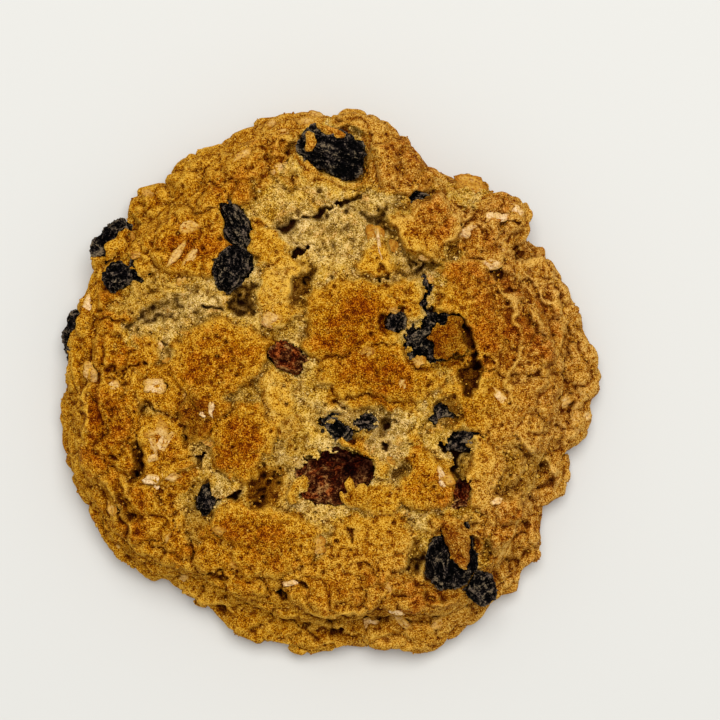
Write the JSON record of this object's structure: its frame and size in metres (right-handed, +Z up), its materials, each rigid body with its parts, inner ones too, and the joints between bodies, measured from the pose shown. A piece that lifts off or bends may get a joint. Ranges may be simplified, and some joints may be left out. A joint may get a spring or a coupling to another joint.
{
  "type": "oatmeal raisin cookie",
  "caption": "Thick round oatmeal raisin cookie with a cracked, lumpy golden-brown top, an uneven rim, a flat underside, and dark raisins set in its top and sides.",
  "frame": {"origin": "on the table, at the centre of the cookie's footprint: the middle of the bounding box's bottom face", "axes": "+Z up out of the browned top; the underside lies in z = 0; +X and +Y lie in the table, with the proud raisin near the rim at +Y and the low layered skirt at +X"},
  "size_m": [0.1072, 0.1084, 0.0234],
  "materials": {
    "baked_dough": "matte, grainy, golden-brown baked crust with paler crumb in the cracks",
    "raisin_dark": "satin, wrinkled, nearly black dried-grape skin",
    "raisin_red_brown": "satin, wrinkled, red-brown dried-grape skin"
  },
  "bodies": {
    "root": {"dough": "baked_dough", "raisin_north": "raisin_dark", "raisin_northwest_neck": "raisin_dark", "raisin_northwest_drop": "raisin_dark", "raisin_west_upper": "raisin_dark", "raisin_west_slit": "raisin_dark", "raisin_middle": "raisin_red_brown", "raisin_red": "raisin_red_brown", "raisin_capped": "raisin_dark", "raisin_dot": "raisin_dark", "raisin_crack_north": "raisin_dark", "raisin_northeast": "raisin_dark", "raisin_valley_west": "raisin_dark", "raisin_valley_middle": "raisin_dark", "raisin_valley_east": "raisin_dark", "raisin_east_slit": "raisin_dark", "raisin_east_brown": "raisin_red_brown", "raisin_southeast": "raisin_dark", "raisin_southeast_rim": "raisin_dark", "raisin_southwest_slit": "raisin_dark", "raisin_northwest_edge": "raisin_dark", "raisin_west_edge": "raisin_dark"}
  },
  "joints": []
}
